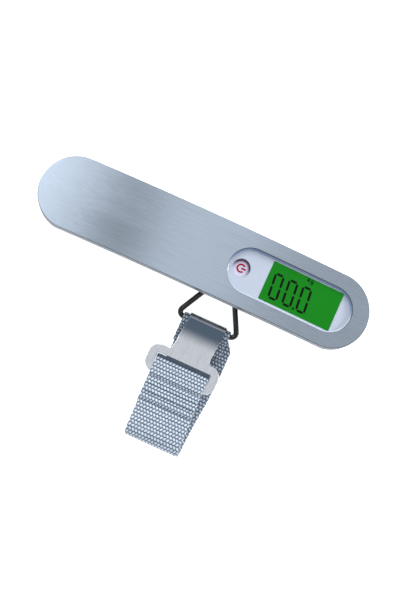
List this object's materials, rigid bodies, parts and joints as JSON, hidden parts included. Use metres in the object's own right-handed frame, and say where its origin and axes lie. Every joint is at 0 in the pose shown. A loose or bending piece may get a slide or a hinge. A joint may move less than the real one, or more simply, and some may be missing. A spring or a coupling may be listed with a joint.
{
  "type": "digital luggage scale",
  "caption": "Hand-held hanging scale with a bowed brushed plate, backlit display, power button, wire ring and webbing loop with a sheet-metal hook buckle.",
  "frame": {"origin": "middle of the flat back of the rear housing", "axes": "+X along the body towards the display end, +Z out through the display face, webbing loop towards -Y"},
  "size_m": [0.15, 0.0982, 0.022],
  "materials": {
    "brushed_plate": "brushed along the body",
    "housing_plastic": "fine satin",
    "bezel_plastic": "satin",
    "lcd_green": "lit from behind",
    "clear_glass": "clear",
    "white_plastic": "moulded",
    "clear_plastic": "clear",
    "elastomer": "soft",
    "led_plastic": "clear",
    "board": "lacquered",
    "chip_resin": "moulded",
    "ceramic": "sintered",
    "tin_can": "bright",
    "button_plastic": "satin",
    "switch_plastic": "moulded",
    "cell_aluminium": "milled",
    "gauge_film": "film",
    "screw_steel": "zinc plated",
    "eye_steel": "plated",
    "battery_steel": "bright",
    "contact_brass": "plated",
    "red_insulation": "smooth",
    "black_insulation": "smooth",
    "ring_nickel": "dark nickel",
    "webbing": "coarse plain weave",
    "buckle_steel": "satin polished"
  },
  "bodies": {
    "scale_body": {"front_plate": "brushed_plate", "upper_housing": "housing_plastic", "rear_housing": "housing_plastic", "display_bezel": "bezel_plastic", "lcd_front_glass": "lcd_green", "lcd_rear_glass": "clear_glass", "lcd_holder": "white_plastic", "light_guide": "clear_plastic", "contact_strip": "elastomer", "backlight_leds": "led_plastic", "main_board": "board", "main_chip": "chip_resin", "amplifier_chip": "chip_resin", "capacitors": "ceramic", "crystal": "tin_can", "tact_switch": "switch_plastic", "load_cell": "cell_aluminium", "strain_gauges": "gauge_film", "load_cell_screws": "screw_steel", "load_cell_eye": "eye_steel", "eye_nut": "screw_steel", "contact_plus": "contact_brass", "contact_minus": "contact_brass", "red_lead": "red_insulation", "black_lead": "black_insulation", "housing_screws": "screw_steel"},
    "button": {"power_button": "button_plastic", "switch_plunger": "button_plastic"},
    "ring": {"ring": "ring_nickel"},
    "strap": {"strap_rear": "webbing"},
    "hook": {"strap_front": "webbing", "hook_buckle": "buckle_steel"},
    "door": {"battery_door": "housing_plastic"},
    "battery": {"coin_cell": "battery_steel"}
  },
  "joints": [
    {"name": "button_press", "type": "slide", "parent": "scale_body", "child": "button", "axis": [-0.0364, 0, -0.9993], "range_m": [0, 0.0007], "stiffness_N_per_m": 3000},
    {"name": "ring_swing", "type": "hinge", "parent": "scale_body", "child": "ring", "pos_m": [0.014, -0.0069, 0.008], "axis": [-1, 0, 0], "range_deg": [-4, 22]},
    {"name": "strap_swing", "type": "hinge", "parent": "ring", "child": "strap", "pos_m": [0.014, -0.0266, 0.00453], "axis": [-1, 0, 0], "range_deg": [-90, 90]},
    {"name": "hook_release", "type": "slide", "parent": "strap", "child": "hook", "axis": [0, 0.9272, 0.3746], "range_m": [0, 0.005]},
    {"name": "door_lift", "type": "slide", "parent": "scale_body", "child": "door", "axis": [0, 0, -1], "range_m": [0, 0.02]},
    {"name": "battery_lift", "type": "slide", "parent": "scale_body", "child": "battery", "axis": [0, 0, -1], "range_m": [0, 0.012]}
  ],
  "couplings": [
    {"joint": "battery_lift", "follows": "door_lift", "ratio": 0.6}
  ]
}
